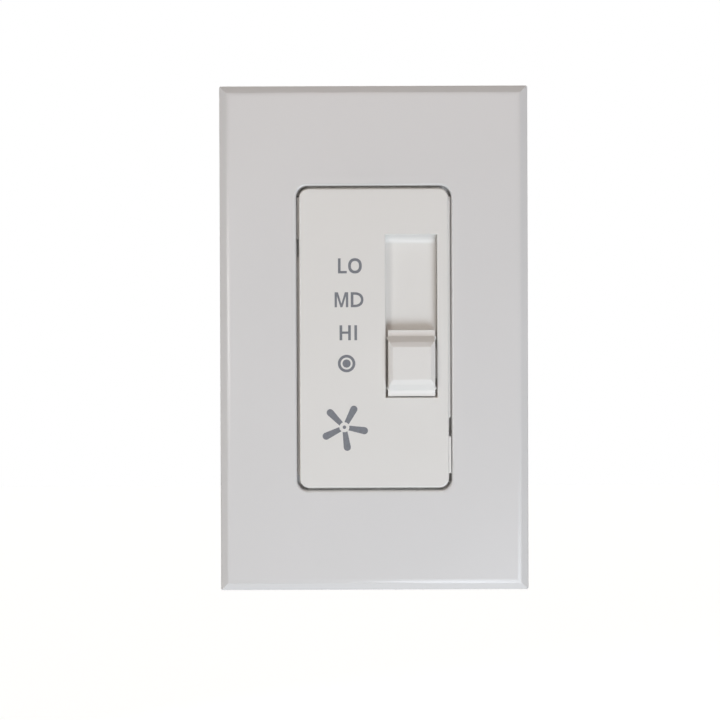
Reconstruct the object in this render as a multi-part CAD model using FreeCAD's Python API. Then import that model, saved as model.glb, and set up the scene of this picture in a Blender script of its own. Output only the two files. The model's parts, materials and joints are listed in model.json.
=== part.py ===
import FreeCAD, Part
import math
import os
from FreeCAD import Vector

# A wall-mounted fan speed control: a slider with four settings in a snap-on wallplate.
# Sizes are in millimetres. X runs to the right, Z runs up and Y runs into the wall.
# The origin is the middle of the wallplate, in the plane of the wall surface.

# Wallplate
plate_width = 69.85
plate_height = 114.3
plate_depth = 6.0
plate_wall = 1.7
plate_corner_radius = 0.6
bevel_width = 2.1
bevel_depth = 1.25
bevel_crest_radius = 2.4
bevel_foot_radius = 0.5
opening_width = 34.95
opening_height = 68.75
opening_corner_radius = 2.5
opening_edge_radius = 0.55
opening_rim_wall = 1.2
opening_rim_depth = 0.8
hook_offset_x = 28.0
hook_offset_z = 34.0
hook_thickness = 1.2
hook_length = 6.0
hook_barb = 0.6
hook_clearance = 0.25

# Subplate that the wallplate snaps onto
subplate_thickness = 1.6
subplate_rim_height = 0.5
subplate_rim_wall = 1.4
subplate_corner_radius = 2.0
subplate_inset = 3.3
subplate_window_gap = 0.2
notch_depth = 0.45
right_notches = ((14.6, 3.9), (2.2, 2.6))
left_notches = ((12.8, 4.0), (2.4, 1.8))

# Insert that fills the opening
insert_gap = 0.65
insert_proud = 0.6
insert_skin = 1.4
insert_wall = 1.15
insert_corner_radius = 2.1
insert_edge_radius = 0.4
insert_rib_thickness = 0.8
insert_rib_height = 1.1
clip_inset_z = 5.65
clip_length = 4.0
clip_thickness = 1.0
clip_reach = 1.6
clip_barb = 0.4
clip_clearance = 0.25

# Recess in which the knob runs
recess_margin_x = 2.6
recess_z = 4.94
recess_width = 11.6
recess_length = 36.62
recess_depth = 2.4
recess_end_radius = 2.0
recess_edge_radius = 0.25
trough_wall = 1.2

# Knob
knob_length = 14.85
knob_side_gap = 0.5
knob_end_gap = 0.3
knob_floor_gap = 0.15
knob_end_lip = 0.55
knob_ledge_length = 1.45
knob_ledge_rise = 0.35
knob_end_proud = 0.3
knob_wall = 1.2
pad_side_step = 0.12
pad_step_length = 1.05
pad_step_height = 1.3
pad_side_bevel = 0.95
pad_end_bevel = 1.25
pad_bevel_height = 0.7
pad_edge_radius = 0.35
pad_corner_radius = 0.3
nub_radius = 0.35
nub_offset = 5.65
tongue_thickness = 0.65
leg_thickness = 0.75
leg_length = 7.0
leg_gap = 0.25
speed_steps = 3

# Yoke
yoke_thickness = 1.5
yoke_inset = 3.95
yoke_neck_width = 30.0
yoke_ear_width = 44.0
yoke_ear_height = 7.5
yoke_corner_radius = 2.0
yoke_wing_depth = 8.0
yoke_bend_radius = 1.7
ear_score_width = 0.8
ear_score_length = 4.6
ear_score_x = 15.6
box_screw_spacing = 83.34
box_slot_length = 7.0
box_slot_width = 3.8
plate_screw_spacing = 96.84

# Screws
box_screw_radius = 1.75
box_screw_neck_radius = 1.45
box_screw_length = 25.4
box_screw_head_radius = 3.4
box_screw_head_height = 1.8
box_screw_head_clearance = 0.5
retainer_size = 9.0
retainer_thickness = 0.4
plate_screw_radius = 1.7
plate_screw_head_radius = 2.9
plate_screw_head_height = 0.95
plate_screw_length = 7.5
screw_slot_width = 0.9
screw_slot_depth = 0.7
thread_clearance = 0.06
ground_screw_radius = 1.9
ground_screw_head_radius = 3.9
ground_screw_head_height = 2.2
ground_screw_stand_off = 0.9
ground_screw_x = -10.5
ground_screw_offset = 6.5

# Rear housing
housing_side_offset = 4.2
housing_height = 66.0
housing_depth = 27.0
housing_wall = 1.8
housing_corner_radius = 3.0
housing_back_radius = 1.5
housing_draft = 0.6
wing_clearance = 0.15
boss_x = 9.0
boss_z = 29.2
boss_radius = 2.6
rivet_radius = 1.3
rivet_head_radius = 2.1
rivet_head_height = 0.7
rivet_clearance = 0.05
board_ledge_width = 1.4
board_ledge_length = 4.0
board_ledge_depth = 5.0
board_ledge_z = 19.5
pocket_length = 11.0
pocket_depth = 4.6
pocket_front = 10.5
pocket_back = 22.5
pocket_wall = 1.5
terminal_z = 13.0
wire_hole_radius = 1.3

# Circuit board and what it carries
board_side_gap = 0.6
board_height = 51.0
board_thickness = 1.6
board_corner_radius = 1.0
pad_thickness = 0.15
pad_gap = 0.15
lead_radius = 0.4
lead_clearance = 0.1
lead_bend_radius = 1.0
large_capacitor = (24.0, 13.0, 22.0)
large_capacitor_place = (2.5, -13.0)
small_capacitor = (24.0, 11.0, 12.0)
small_capacitor_place = (2.5, 10.0)
capacitor_edge_chamfer = 0.6
capacitor_stand_off = 0.3
resistor_radius = 1.6
resistor_length = 9.0
resistor_places = ((-3.0, 18.8), (-3.0, 22.6))
fuse_radius = 1.2
fuse_length = 11.0
fuse_place = (2.5, 1.0)
axial_lead_span = 16.0
axial_height = 2.6

# Slide mechanism behind the yoke
carriage_length = 16.0
carriage_width = 12.3
carriage_thickness = 1.65
carriage_front_gap = 0.35
carriage_margin = 0.5
carriage_corner_radius = 0.8
carriage_boss_height = 1.5
socket_clearance = 0.05
guide_wall = 1.4
guide_gap = 0.15
guide_ledge = 1.2
guide_end_gap = 0.5
guide_peg_radius = 0.8
guide_front_gap = 0.05
detent_radius = 0.8
detent_reach = 0.45
spring_thickness = 0.2
spring_width = 1.0
spring_half_length = 6.0
wiper_thickness = 0.2
wiper_finger_width = 1.8
wiper_rail_offset = 3.3
wiper_pad_offset = 1.3

# Terminals
terminal_thickness = 0.9
terminal_width = 9.0
terminal_tail_width = 3.0
terminal_tail_x = 3.0
terminal_screw_radius = 2.0
terminal_screw_head_radius = 3.9
terminal_screw_head_height = 2.2
terminal_screw_length = 4.4
terminal_clearance = 0.1

# Depths and places that follow from the sizes above
side_depth = plate_depth - bevel_depth
plate_front = -plate_depth
plate_inner_face = plate_front + plate_wall
yoke_front = -yoke_thickness
subplate_front = yoke_front - subplate_thickness
subplate_width = plate_width - 2 * subplate_inset
subplate_height = plate_height - 2 * subplate_inset
insert_width = opening_width - 2 * insert_gap
insert_height = opening_height - 2 * insert_gap
insert_front = plate_front - insert_proud
skin_back = insert_front + insert_skin
insert_inner_x = insert_width / 2 - insert_wall
clip_offset_z = insert_height / 2 - clip_inset_z
recess_x = insert_width / 2 - recess_margin_x - recess_width / 2
recess_floor = insert_front + recess_depth
trough_back = recess_floor + trough_wall
recess_left = recess_x - recess_width / 2
recess_right = recess_x + recess_width / 2
recess_bottom = recess_z - recess_length / 2
recess_top = recess_z + recess_length / 2
knob_width = recess_width - 2 * knob_side_gap
knob_z = recess_bottom + knob_end_gap + knob_length / 2
knob_underside = recess_floor - knob_floor_gap
slide_travel = recess_length - knob_length - 2 * knob_end_gap
speed_pitch = slide_travel / speed_steps
leg_inner_x = recess_right + leg_gap
leg_outer_x = leg_inner_x + leg_thickness
carriage_front = carriage_front_gap
carriage_back = carriage_front + carriage_thickness
carriage_right = leg_outer_x + carriage_margin
carriage_left = carriage_right - carriage_width
carriage_boss_left = leg_inner_x - carriage_margin
wiper_rail_x = (carriage_left + carriage_right) / 2 - wiper_rail_offset
wiper_pad_x = (carriage_left + carriage_right) / 2 + wiper_pad_offset
guide_left = carriage_left - guide_gap
guide_right = carriage_right + guide_gap
guide_bottom = knob_z - carriage_length / 2 - guide_end_gap
guide_top = knob_z + slide_travel + carriage_length / 2 + guide_end_gap
guide_ledge_front = carriage_back + guide_gap
wiper_reach = guide_ledge_front + 0.75
board_front = wiper_reach + pad_gap + pad_thickness
board_back = board_front + board_thickness
wiper_tip_z = knob_z - 3.2
yoke_height = plate_height - 2 * yoke_inset
ground_screw_z = -(housing_height / 2 + ground_screw_offset)
housing_width = insert_width + 2 * housing_side_offset
housing_inner_x = housing_width / 2 - housing_wall
board_width = 2 * (housing_inner_x - board_side_gap)
pocket_floor_x = -(housing_width / 2 - pocket_depth)
box_screw_places = (box_screw_spacing / 2, -box_screw_spacing / 2)
plate_screw_places = (plate_screw_spacing / 2, -plate_screw_spacing / 2)


def rounded_wire(width, height, radius, x=0.0, y=0.0, z=0.0):
    """Outline of a rectangle with round corners in the plane at depth y."""
    points = []
    for turn in range(4):
        side_x = 1 if turn in (0, 3) else -1
        side_z = 1 if turn in (0, 1) else -1
        centre = Vector(x + side_x * (width / 2 - radius), y, z + side_z * (height / 2 - radius))
        for step in (0, 45, 90):
            angle = math.radians(90 * turn + step)
            points.append(centre + Vector(radius * math.cos(angle), 0, radius * math.sin(angle)))
    edges = []
    for turn in range(4):
        start, middle, end = points[3 * turn:3 * turn + 3]
        edges.append(Part.Arc(start, middle, end).toShape())
        edges.append(Part.makeLine(end, points[(3 * turn + 3) % 12]))
    return Part.Wire(edges)


def slab(width, height, radius, front, back, x=0.0, z=0.0):
    """Plate with round corners between two depths."""
    face = Part.Face(rounded_wire(width, height, radius, x, front, z))
    return face.extrude(Vector(0, back - front, 0))


def block(x_range, y_range, z_range):
    """Square-edged block between pairs of limits."""
    low = Vector(x_range[0], y_range[0], z_range[0])
    size = (x_range[1] - x_range[0], y_range[1] - y_range[0], z_range[1] - z_range[0])
    return Part.makeBox(size[0], size[1], size[2], low)


def rod(radius, front, back, x=0.0, z=0.0):
    """Cylinder that runs into the wall between two depths."""
    return Part.makeCylinder(radius, back - front, Vector(x, front, z), Vector(0, 1, 0))


def turned(profile, x=0.0, z=0.0):
    """Solid of revolution about a line into the wall, from (radius, depth) points."""
    points = [Vector(x + radius, depth, z) for radius, depth in profile]
    face = Part.Face(Part.makePolygon(points + [points[0]]))
    return face.revolve(Vector(x, 0, z), Vector(0, 1, 0), 360)


def strip_face(path, thickness, place):
    """Face of a folded strip whose middle line runs through the points of path."""
    left = []
    right = []
    for index, point in enumerate(path):
        before = path[index - 1] if index > 0 else None
        after = path[index + 1] if index + 1 < len(path) else None
        normals = []
        for start, end in ((before, point), (point, after)):
            if start is not None and end is not None:
                length = math.dist(start, end)
                normals.append(((start[1] - end[1]) / length, (end[0] - start[0]) / length))
        first = normals[0]
        last = normals[-1]
        scale = thickness / 2 / (1 + first[0] * last[0] + first[1] * last[1])
        shift = ((first[0] + last[0]) * scale, (first[1] + last[1]) * scale)
        left.append(place(point[0] + shift[0], point[1] + shift[1]))
        right.append(place(point[0] - shift[0], point[1] - shift[1]))
    outline = left + right[::-1]
    return Part.Face(Part.makePolygon(outline + [outline[0]]))


def edges_in_plane(shape, depth, x_range, z_range):
    """Edges that lie at one depth and inside a window."""
    slack = 0.01
    chosen = []
    for edge in shape.Edges:
        box = edge.BoundBox
        flat = abs(box.YMin - depth) < slack and abs(box.YMax - depth) < slack
        inside_x = box.XMin > x_range[0] - slack and box.XMax < x_range[1] + slack
        inside_z = box.ZMin > z_range[0] - slack and box.ZMax < z_range[1] + slack
        if flat and inside_x and inside_z:
            chosen.append(edge)
    return chosen


def all_edges_in_plane(shape, depth):
    """Every edge that lies at one depth."""
    far = plate_height
    return edges_in_plane(shape, depth, (-far, far), (-far, far))


def joined(shapes):
    """One solid from pieces that overlap or share faces."""
    return shapes[0].multiFuse(shapes[1:]).removeSplitter()


def snap_hook(side, z):
    """Barbed finger behind the wallplate that grips the back of the subplate."""
    inner = hook_offset_x - hook_thickness / 2
    outer = hook_offset_x + hook_thickness / 2
    catch = yoke_front + hook_clearance / 2
    tip = catch + 2 * hook_barb
    profile = [
        (inner, plate_inner_face - plate_wall / 2),
        (outer, plate_inner_face - plate_wall / 2),
        (outer, catch),
        (outer + hook_barb, catch),
        (outer, tip),
        (inner, tip),
    ]
    points = [Vector(side * x, y, z - hook_length / 2) for x, y in profile]
    return Part.Face(Part.makePolygon(points + [points[0]])).extrude(Vector(0, 0, hook_length))


def bevelled_body(inset, side_back, side_front, front, face_inset):
    """Box with a bevelled front whose side walls lie a given inset inside the plate."""
    width = plate_width - 2 * inset
    height = plate_height - 2 * inset
    face_width = plate_width - 2 * face_inset
    face_height = plate_height - 2 * face_inset
    wires = [
        rounded_wire(width, height, plate_corner_radius, y=side_back),
        rounded_wire(width, height, plate_corner_radius, y=side_front),
        rounded_wire(face_width, face_height, plate_corner_radius, y=front),
    ]
    return Part.makeLoft(wires, True, True)


def rounded_corner(before, corner, after, radius):
    """Start, middle and end of the arc that rounds a corner."""
    back = (before - corner).normalize()
    ahead = (after - corner).normalize()
    half_angle = back.getAngle(ahead) / 2
    reach = radius / math.tan(half_angle)
    rise = radius / math.sin(half_angle) - radius
    middle = corner + (back + ahead).normalize() * rise
    return corner + back * reach, middle, corner + ahead * reach


def bevelled_bar(half, half_length, upright):
    """Bar with the cover's section, whose bevels are rounded at foot and crest."""
    outline = [(half, 0), (half, -side_depth), (half - bevel_width, plate_front)]
    outline += [(-across, y) for across, y in reversed(outline)]
    if upright:
        points = [Vector(across, y, -half_length) for across, y in outline]
        run = Vector(0, 0, 2 * half_length)
    else:
        points = [Vector(-half_length, y, across) for across, y in outline]
        run = Vector(2 * half_length, 0, 0)
    radii = (bevel_foot_radius, bevel_crest_radius, bevel_crest_radius, bevel_foot_radius)
    edges = []
    last = points[0]
    for index, radius in enumerate(radii):
        start, middle, end = rounded_corner(*points[index:index + 3], radius)
        edges.append(Part.makeLine(last, start))
        edges.append(Part.Arc(start, middle, end).toShape())
        last = end
    edges.append(Part.makeLine(last, points[5]))
    edges.append(Part.makeLine(points[5], points[0]))
    return Part.Face(Part.Wire(edges)).extrude(run)


def wallplate():
    """Screwless cover with bevelled edges, a round-cornered opening and four snap hooks."""
    upright = bevelled_bar(plate_width / 2, plate_height, True)
    level = bevelled_bar(plate_height / 2, plate_width, False)
    outline = slab(plate_width, plate_height, plate_corner_radius, plate_front, 0)
    body = upright.common(level).common(outline)
    lean = math.atan2(bevel_width, bevel_depth)
    inner_side = side_depth - plate_wall * math.tan(lean / 2)
    inner_face_inset = bevel_width + plate_wall * math.tan((math.pi / 2 - lean) / 2)
    hollow = bevelled_body(plate_wall, 0.0, -inner_side, plate_inner_face, inner_face_inset)
    body = body.cut(hollow)
    rim = slab(
        opening_width + 2 * opening_rim_wall,
        opening_height + 2 * opening_rim_wall,
        opening_corner_radius + opening_rim_wall,
        plate_inner_face,
        plate_inner_face + opening_rim_depth,
    )
    hooks = [snap_hook(x, z) for x in (-1, 1) for z in (-hook_offset_z, hook_offset_z)]
    body = joined([body, rim] + hooks)
    opening = slab(opening_width, opening_height, opening_corner_radius, plate_front - 1, 0)
    body = body.cut(opening)
    half_width = opening_width / 2
    half_height = opening_height / 2
    mouth = edges_in_plane(
        body, plate_front, (-half_width, half_width), (-half_height, half_height)
    )
    return body.makeFillet(opening_edge_radius, mouth)


def subplate():
    """Plate screwed to the yoke, with slots for the hooks and holes for the screw heads."""
    body = slab(
        subplate_width, subplate_height, subplate_corner_radius, subplate_front, yoke_front
    )
    rim_front = subplate_front - subplate_rim_height
    rim = slab(
        subplate_width, subplate_height, subplate_corner_radius, rim_front, subplate_front
    )
    rim_hollow = slab(
        subplate_width - 2 * subplate_rim_wall,
        subplate_height - 2 * subplate_rim_wall,
        subplate_corner_radius - subplate_rim_wall / 2,
        rim_front,
        subplate_front,
    )
    body = joined([body, rim.cut(rim_hollow)])
    window_width = insert_width + 2 * subplate_window_gap
    window_height = insert_height + 2 * subplate_window_gap
    cuts = [
        slab(
            window_width,
            window_height,
            insert_corner_radius + subplate_window_gap,
            rim_front,
            0,
        )
    ]
    for side, notches in ((1, right_notches), (-1, left_notches)):
        for end_distance, length in notches:
            centre = side * (end_distance - window_height / 2)
            cuts.append(
                slab(2 * notch_depth, length, notch_depth / 2, rim_front, 0,
                     side * window_width / 2, centre)
            )
    slot_width = hook_thickness + 2 * hook_clearance
    slot_length = hook_length + 2 * hook_clearance
    for side in (-1, 1):
        for z in (-hook_offset_z, hook_offset_z):
            cuts.append(
                slab(slot_width, slot_length, slot_width / 4, rim_front, 0,
                     side * hook_offset_x, z)
            )
    for z in box_screw_places:
        cuts.append(rod(box_screw_head_radius + box_screw_head_clearance, rim_front, 0, 0, z))
    for z in plate_screw_places:
        cuts.append(rod(plate_screw_radius + 3 * thread_clearance, rim_front, 0, 0, z))
    for cutter in cuts:
        body = body.cut(cutter)
    return body


def screw_recess(head_front, x, z):
    """Straight driver slot across a screw head."""
    reach = box_screw_head_radius + 1
    return block(
        (x - reach, x + reach),
        (head_front - 1, head_front + screw_slot_depth),
        (z - screw_slot_width / 2, z + screw_slot_width / 2),
    )


def plate_screw(z):
    """Short screw that holds the subplate to the yoke."""
    head_front = subplate_front - plate_screw_head_height
    end = subplate_front + plate_screw_length
    crown = plate_screw_head_radius * 0.75
    profile = [
        (0, head_front),
        (crown, head_front),
        (plate_screw_head_radius, head_front + plate_screw_head_height / 2),
        (plate_screw_head_radius, subplate_front),
        (plate_screw_radius, subplate_front),
        (plate_screw_radius, end - plate_screw_radius / 2),
        (plate_screw_radius / 2, end),
        (0, end),
    ]
    return turned(profile, 0, z).cut(screw_recess(head_front, 0, z))


def box_screw(z):
    """Long screw that holds the yoke to the wall box, with a waist under its head."""
    head_front = yoke_front - box_screw_head_height
    thread_start = retainer_thickness + 0.05
    end = yoke_front + box_screw_length
    profile = [
        (0, head_front),
        (box_screw_head_radius * 0.55, head_front + box_screw_head_height * 0.12),
        (box_screw_head_radius, head_front + box_screw_head_height * 0.6),
        (box_screw_head_radius, yoke_front),
        (box_screw_neck_radius, yoke_front),
        (box_screw_neck_radius, thread_start),
        (box_screw_radius, thread_start),
        (box_screw_radius, end - box_screw_radius / 2),
        (box_screw_radius / 2, end),
        (0, end),
    ]
    return turned(profile, 0, z).cut(screw_recess(head_front, 0, z))


def screw_retainer(z):
    """Square fibre washer that keeps the long screw in the yoke."""
    washer = slab(retainer_size, retainer_size, 1.0, 0, retainer_thickness, 0, z)
    return washer.cut(rod(box_screw_neck_radius + 0.05, 0, retainer_thickness, 0, z))


def trough():
    """Floor and end walls of the recess, hung from the skin of the insert."""
    return block(
        (recess_left - trough_wall, recess_right),
        (skin_back - insert_skin / 2, trough_back),
        (recess_bottom - trough_wall, recess_top + trough_wall),
    )


def recess_space():
    """Space of the recess, its ends curving up from the floor to the face."""
    mouth = insert_front - 1
    arc_top = recess_floor - recess_end_radius
    corner = recess_end_radius * (1 - math.sqrt(0.5))
    edges = [Part.makeLine(Vector(0, mouth, recess_top), Vector(0, arc_top, recess_top))]
    edges.append(
        Part.Arc(
            Vector(0, arc_top, recess_top),
            Vector(0, recess_floor - corner, recess_top - corner),
            Vector(0, recess_floor, recess_top - recess_end_radius),
        ).toShape()
    )
    edges.append(
        Part.makeLine(
            Vector(0, recess_floor, recess_top - recess_end_radius),
            Vector(0, recess_floor, recess_bottom + recess_end_radius),
        )
    )
    edges.append(
        Part.Arc(
            Vector(0, recess_floor, recess_bottom + recess_end_radius),
            Vector(0, recess_floor - corner, recess_bottom + corner),
            Vector(0, arc_top, recess_bottom),
        ).toShape()
    )
    edges.append(Part.makeLine(Vector(0, arc_top, recess_bottom), Vector(0, mouth, recess_bottom)))
    edges.append(Part.makeLine(Vector(0, mouth, recess_bottom), Vector(0, mouth, recess_top)))
    face = Part.Face(Part.Wire(edges))
    face.translate(Vector(recess_left, 0, 0))
    return face.extrude(Vector(recess_width, 0, 0))


def insert_clip(side, z):
    """Barbed finger at the side of the insert that snaps through the yoke."""
    outer = insert_inner_x
    inner = outer - clip_thickness
    catch = clip_clearance / 2
    profile = [
        (inner, skin_back),
        (outer, skin_back),
        (outer, catch),
        (outer + clip_barb, catch),
        (outer, clip_reach),
        (inner, clip_reach),
    ]
    points = [Vector(side * x, y, z - clip_length / 2) for x, y in profile]
    return Part.Face(Part.makePolygon(points + [points[0]])).extrude(Vector(0, 0, clip_length))


def face_frame():
    """Hollow insert with the knob's recess, open behind the recess's right edge."""
    body = slab(insert_width, insert_height, insert_corner_radius, insert_front, yoke_front)
    body = body.makeFillet(insert_edge_radius, all_edges_in_plane(body, insert_front))
    hollow = slab(
        2 * insert_inner_x,
        insert_height - 2 * insert_wall,
        insert_corner_radius - insert_wall / 2,
        skin_back,
        yoke_front,
    )
    body = body.cut(hollow)
    ribs = []
    for z in (-insert_height / 3, 0, insert_height / 3):
        rib_left = -insert_inner_x
        ribs.append(
            block(
                (rib_left, recess_left - trough_wall / 2),
                (skin_back - insert_skin / 2, skin_back + insert_rib_height),
                (z - insert_rib_thickness / 2, z + insert_rib_thickness / 2),
            )
        )
    clips = [insert_clip(x, z) for x in (-1, 1) for z in (-clip_offset_z, clip_offset_z)]
    body = joined([body, trough()] + ribs + clips)
    body = body.cut(recess_space())
    mouth = edges_in_plane(
        body, insert_front, (recess_left, recess_right), (recess_bottom, recess_top)
    )
    return body.makeFillet(recess_edge_radius, mouth)


def knob_base():
    """Base of the knob: ledges that curl up to the pad and ends rounded to clear the recess."""
    half = knob_length / 2
    end_front = insert_front - knob_end_proud
    root_front = end_front - knob_ledge_rise
    radius = knob_underside - (end_front + knob_end_lip)
    corner = radius * (1 - math.sqrt(0.5))
    end_back = end_front + knob_end_lip
    left = recess_x - knob_width / 2
    root = half - knob_ledge_length
    curl = (knob_ledge_length ** 2 + knob_ledge_rise ** 2) / (2 * knob_ledge_rise)
    sweep = math.atan2(knob_ledge_rise, knob_ledge_length)
    bend = (end_front - curl * (1 - math.cos(sweep)), half - curl * math.sin(sweep))
    front_points = [(end_back, half), (end_front, half), bend, (root_front, root)]
    front_points += [(y, -z) for y, z in reversed(front_points)]
    points = [Vector(left, y, knob_z + z) for y, z in front_points]
    edges = [
        Part.makeLine(points[0], points[1]),
        Part.Arc(points[1], points[2], points[3]).toShape(),
        Part.makeLine(points[3], points[4]),
        Part.Arc(points[4], points[5], points[6]).toShape(),
        Part.makeLine(points[6], points[7]),
    ]
    low_start = Vector(left, knob_underside, knob_z - half + radius)
    low_end = Vector(left, knob_underside, knob_z + half - radius)
    low_corner = Vector(left, knob_underside - corner, knob_z - half + corner)
    high_corner = Vector(left, knob_underside - corner, knob_z + half - corner)
    edges.append(Part.Arc(points[-1], low_corner, low_start).toShape())
    edges.append(Part.makeLine(low_start, low_end))
    edges.append(Part.Arc(low_end, high_corner, points[0]).toShape())
    return Part.Face(Part.Wire(edges)).extrude(Vector(knob_width, 0, 0))


def knob_pad():
    """Raised finger pad with sloped steps at its ends and mitred bevels all round."""
    root_y = insert_front - knob_end_proud - knob_ledge_rise
    step_y = root_y - pad_step_height
    top_y = step_y - pad_bevel_height
    root_half = knob_length / 2 - knob_ledge_length
    step_half = root_half - pad_step_length
    pad_half_width = knob_width / 2 - pad_side_step
    sections = [
        (pad_half_width, root_half, root_y),
        (pad_half_width, step_half, step_y),
        (pad_half_width - pad_side_bevel, step_half - pad_end_bevel, top_y),
    ]
    wires = [
        rounded_wire(2 * half_x, 2 * half_z, pad_corner_radius, recess_x, y, knob_z)
        for half_x, half_z, y in sections
    ]
    pad = Part.makeLoft(wires, True, True)
    return pad.makeFillet(pad_edge_radius, all_edges_in_plane(pad, top_y))


def slider_knob():
    """Knob whose tongue passes under the recess's right edge to a leg into the mechanism."""
    leg_range = (knob_z - leg_length / 2, knob_z + leg_length / 2)
    tongue_front = knob_underside - tongue_thickness
    tongue = block(
        (recess_x + knob_width / 2 - knob_wall / 2, leg_outer_x),
        (tongue_front, knob_underside),
        leg_range,
    )
    leg_end = carriage_back - 2 * socket_clearance
    leg = block((leg_inner_x, leg_outer_x), (tongue_front, leg_end), leg_range)
    nub_front = insert_front
    nubs = []
    for side in (-1, 1):
        for z in (-nub_offset, nub_offset):
            nub_x = recess_x + side * knob_width / 2
            nubs.append(rod(nub_radius, nub_front, knob_underside - 1, nub_x, knob_z + z))
    hollow_depth = insert_front - knob_end_proud + knob_wall
    hollows = []
    hollow_width = (knob_width - 3 * knob_wall) / 2
    for side in (-1, 1):
        hollow_x = recess_x + side * (hollow_width + knob_wall) / 2
        hollows.append(
            slab(hollow_width, knob_length / 2, knob_wall / 2, hollow_depth, knob_underside,
                 hollow_x, knob_z)
        )
    body = joined([knob_base(), knob_pad()])
    for hollow in hollows:
        body = body.cut(hollow)
    return joined([body, tongue, leg] + nubs)


def slide_carriage():
    """Carriage that rides in the guide, with a socket for the knob's leg."""
    width = carriage_right - carriage_left
    middle = (carriage_right + carriage_left) / 2
    body = slab(width, carriage_length, carriage_corner_radius, carriage_front, carriage_back,
                middle, knob_z)
    boss = block(
        (carriage_boss_left, carriage_right),
        (carriage_front - carriage_boss_height, carriage_front),
        (knob_z - leg_length / 2 - carriage_margin, knob_z + leg_length / 2 + carriage_margin),
    )
    socket = block(
        (leg_inner_x - socket_clearance, leg_outer_x + socket_clearance),
        (carriage_front - carriage_boss_height, carriage_back),
        (
            knob_z - leg_length / 2 - socket_clearance,
            knob_z + leg_length / 2 + socket_clearance,
        ),
    )
    spring_pocket = slab(
        2 * spring_half_length / 4,
        2 * spring_half_length + 2 * spring_thickness,
        spring_thickness,
        carriage_front,
        carriage_back,
        carriage_left,
        knob_z,
    )
    return joined([body, boss]).cut(socket).cut(spring_pocket)


def detent_positions():
    """Heights of the knob's middle at its settings, from off at the bottom upwards."""
    return [knob_z + step * speed_pitch for step in range(speed_steps + 1)]


def slide_guide():
    """Tray with two rails for the carriage and a notch for each setting."""
    middle_x = (guide_left + guide_right) / 2
    middle_z = (guide_bottom + guide_top) / 2
    inner_width = guide_right - guide_left
    inner_height = guide_top - guide_bottom
    body = slab(
        inner_width + 2 * guide_wall,
        inner_height + 2 * guide_wall,
        guide_wall,
        guide_front_gap,
        board_front,
        middle_x,
        middle_z,
    )
    channel = slab(
        inner_width, inner_height, 0.5, guide_front_gap, guide_ledge_front, middle_x, middle_z
    )
    window = slab(
        inner_width - 2 * guide_ledge,
        inner_height - 2 * guide_ledge,
        0.5,
        guide_ledge_front,
        board_front,
        middle_x,
        middle_z,
    )
    body = body.cut(channel).cut(window)
    for z in detent_positions():
        body = body.cut(rod(detent_radius, guide_front_gap, guide_ledge_front, guide_left, z))
    pegs = [
        rod(guide_peg_radius, board_front - guide_wall / 2, board_back, guide_left - guide_wall / 2, z)
        for z in (guide_bottom, guide_top)
    ]
    return joined([body] + pegs)


def detent_spring():
    """Bowed leaf whose middle clicks into the notches of the guide."""
    seat = carriage_left + spring_half_length / 4 - spring_thickness
    clear = carriage_left + spring_thickness
    crest = guide_left - detent_reach + spring_thickness / 2
    path = [
        (seat, -spring_half_length),
        (clear, -detent_radius * 1.15),
        (crest, -detent_radius * 0.3),
        (crest, detent_radius * 0.3),
        (clear, detent_radius * 1.15),
        (seat, spring_half_length),
    ]
    front = (carriage_front + carriage_back - spring_width) / 2
    face = strip_face(path, spring_thickness, lambda x, z: Vector(x, front, knob_z + z))
    return face.extrude(Vector(0, spring_width, 0))


def wiper_contact():
    """Sprung bridge on the carriage with one finger on the rail and one on the pads."""
    root = knob_z + carriage_length / 4
    base_front = carriage_back
    base = block(
        (guide_left + guide_ledge + guide_gap, guide_right - guide_ledge - guide_gap),
        (base_front, base_front + wiper_thickness),
        (root, root + wiper_finger_width),
    )
    middle = base_front + wiper_thickness / 2
    crest = wiper_reach - wiper_thickness
    path = [
        (root + wiper_finger_width / 2, middle),
        (root, middle),
        (wiper_tip_z + wiper_finger_width, crest - wiper_thickness),
        (wiper_tip_z, crest),
        (wiper_tip_z - wiper_finger_width, crest - 2 * wiper_thickness),
    ]
    fingers = []
    for x in (wiper_rail_x, wiper_pad_x):
        left = x - wiper_finger_width / 2
        face = strip_face(path, wiper_thickness, lambda z, y: Vector(left, y, z))
        fingers.append(face.extrude(Vector(wiper_finger_width, 0, 0)))
    return joined([base] + fingers)


def contact_pads():
    """Common rail and four setting pads on the front of the board."""
    back = board_front
    front = board_front - pad_thickness
    rail_length = slide_travel + speed_pitch * 0.7
    rail_middle = wiper_tip_z + slide_travel / 2
    solids = [
        slab(wiper_finger_width + 0.8, rail_length, 0.4, front, back, wiper_rail_x, rail_middle)
    ]
    for step in range(speed_steps + 1):
        z = wiper_tip_z + step * speed_pitch
        solids.append(
            slab(wiper_finger_width + 1.4, speed_pitch * 0.7, 0.4, front, back, wiper_pad_x, z)
        )
    return Part.makeCompound(solids)


def rivet_seat():
    """Profile of the countersunk hole for a rivet in the yoke."""
    hole = rivet_radius + rivet_clearance
    return [
        (0, yoke_front),
        (rivet_head_radius + rivet_clearance, yoke_front),
        (hole, yoke_front + rivet_head_height),
        (hole, 0),
        (0, 0),
    ]


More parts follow.
